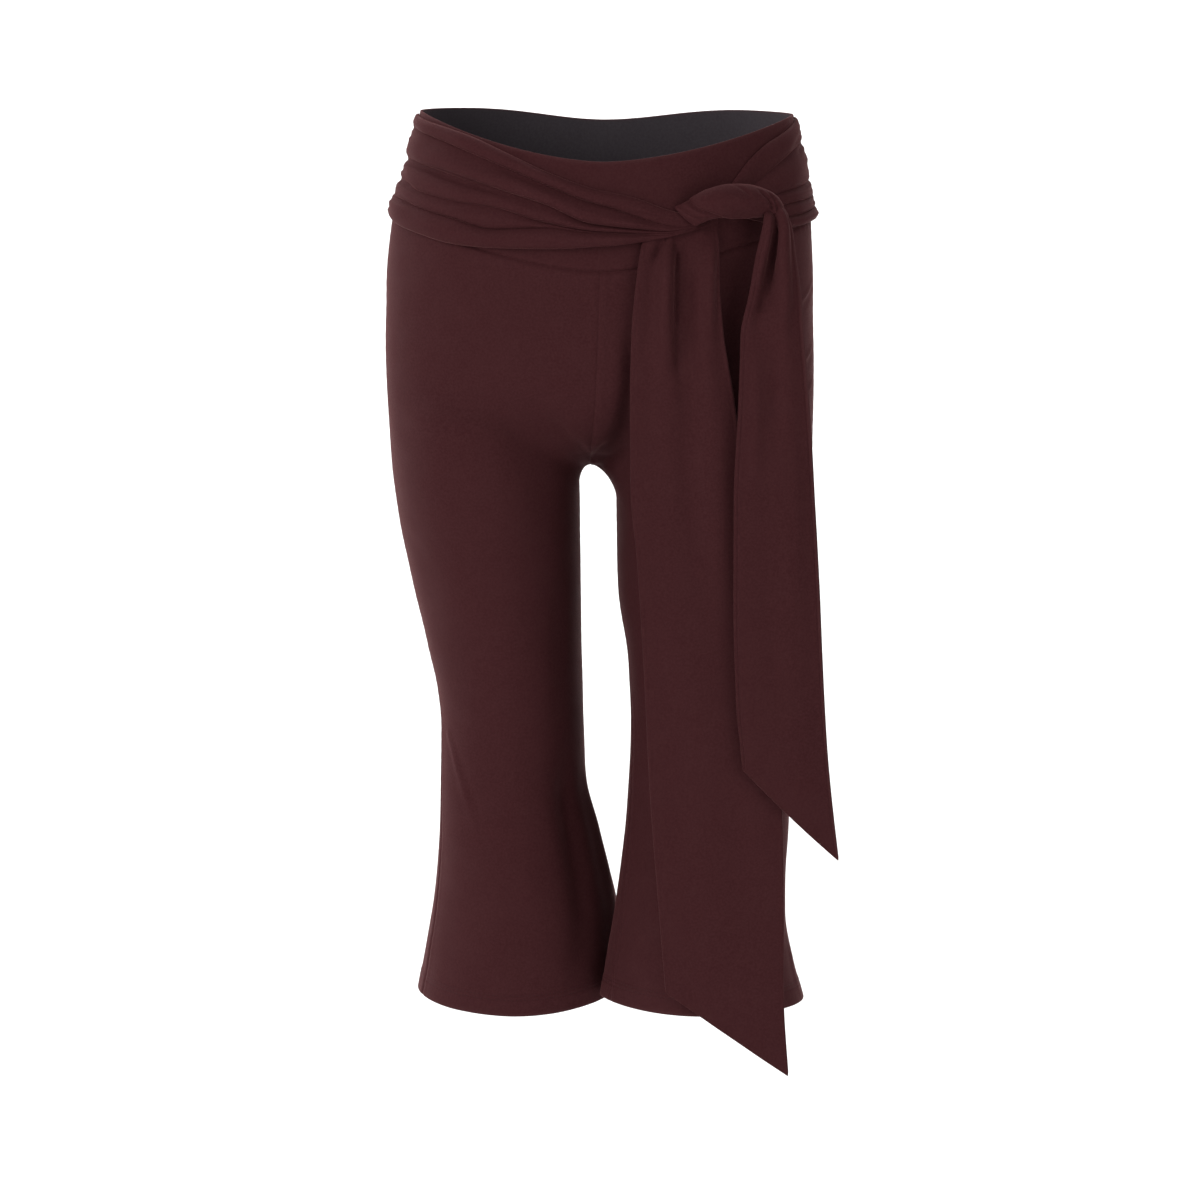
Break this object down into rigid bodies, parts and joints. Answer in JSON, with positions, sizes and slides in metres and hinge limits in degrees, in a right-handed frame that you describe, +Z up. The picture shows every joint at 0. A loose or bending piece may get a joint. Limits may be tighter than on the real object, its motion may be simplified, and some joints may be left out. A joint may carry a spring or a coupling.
{
  "type": "capri pants",
  "caption": "Pull-on knit capri pants with a yoke waist, flared hems and two long ties knotted on the left hip, in worn form.",
  "frame": {"origin": "middle of the waist opening, level with the tops of the side seams", "axes": "+Z up along the wearer, -Y to the wearer's front, +X to the wearer's left"},
  "size_m": [0.3316, 0.2457, 0.6995],
  "materials": {
    "knit": "matte stretch jersey"
  },
  "bodies": {
    "root": {"front_yoke": "knit", "back_yoke": "knit", "front_leg_right": "knit", "front_leg_left": "knit", "back_leg_right": "knit", "back_leg_left": "knit", "tie_right_band": "knit", "tie_left_band": "knit", "tie_knot": "knit", "tie_right_tail": "knit", "tie_left_tail": "knit"}
  },
  "joints": []
}
